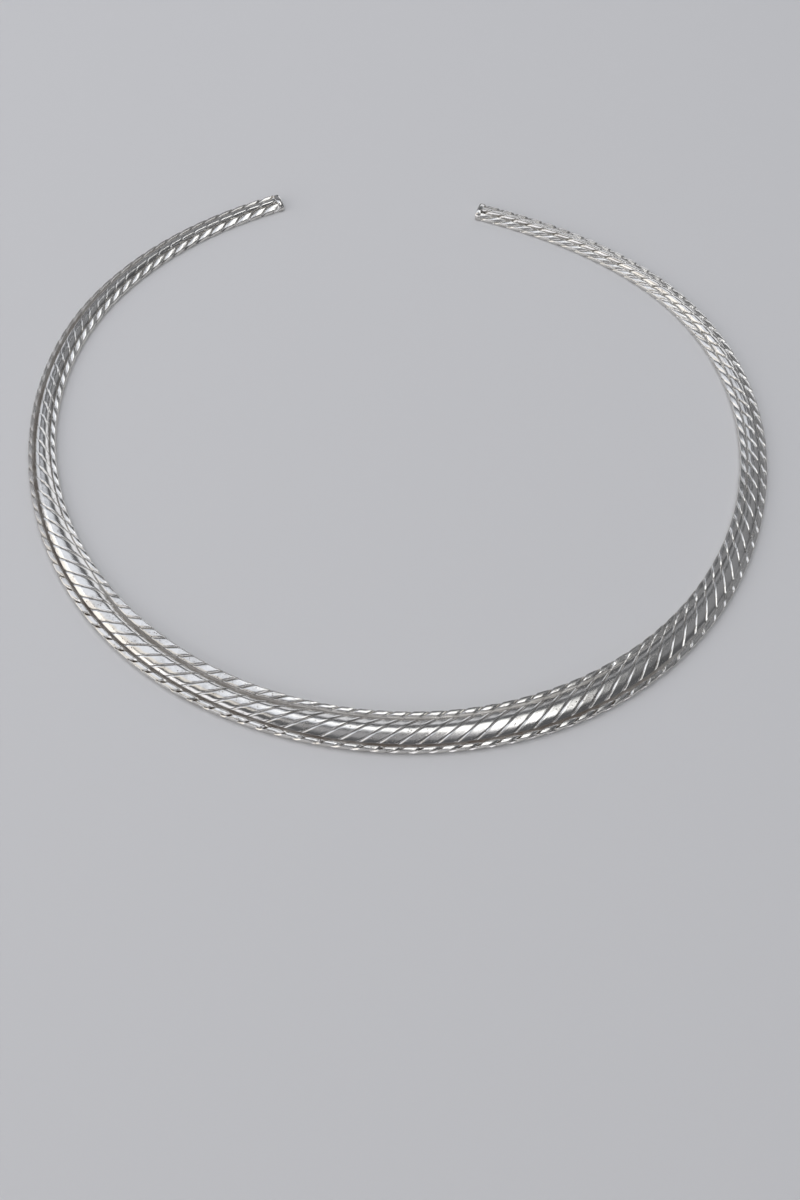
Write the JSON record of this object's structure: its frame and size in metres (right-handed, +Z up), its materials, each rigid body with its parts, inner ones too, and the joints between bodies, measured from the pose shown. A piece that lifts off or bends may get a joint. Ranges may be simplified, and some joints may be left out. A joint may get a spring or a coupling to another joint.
{
  "type": "silver torc",
  "caption": "Open silver neck hoop with a domed band between two rims, slanting chiselled grooves all along it and plain lips at its cut ends.",
  "frame": {"origin": "middle of the hoop's box, on the flat underside that it lies on", "axes": "+X across the hoop, +Y towards the opening between its ends, +Z up out of the carved face"},
  "size_m": [0.1356, 0.1304, 0.0018],
  "materials": {
    "silver": "polished silver, darkened in its grooves and channels"
  },
  "bodies": {
    "root": {"torc_hoop": "silver"}
  },
  "joints": []
}
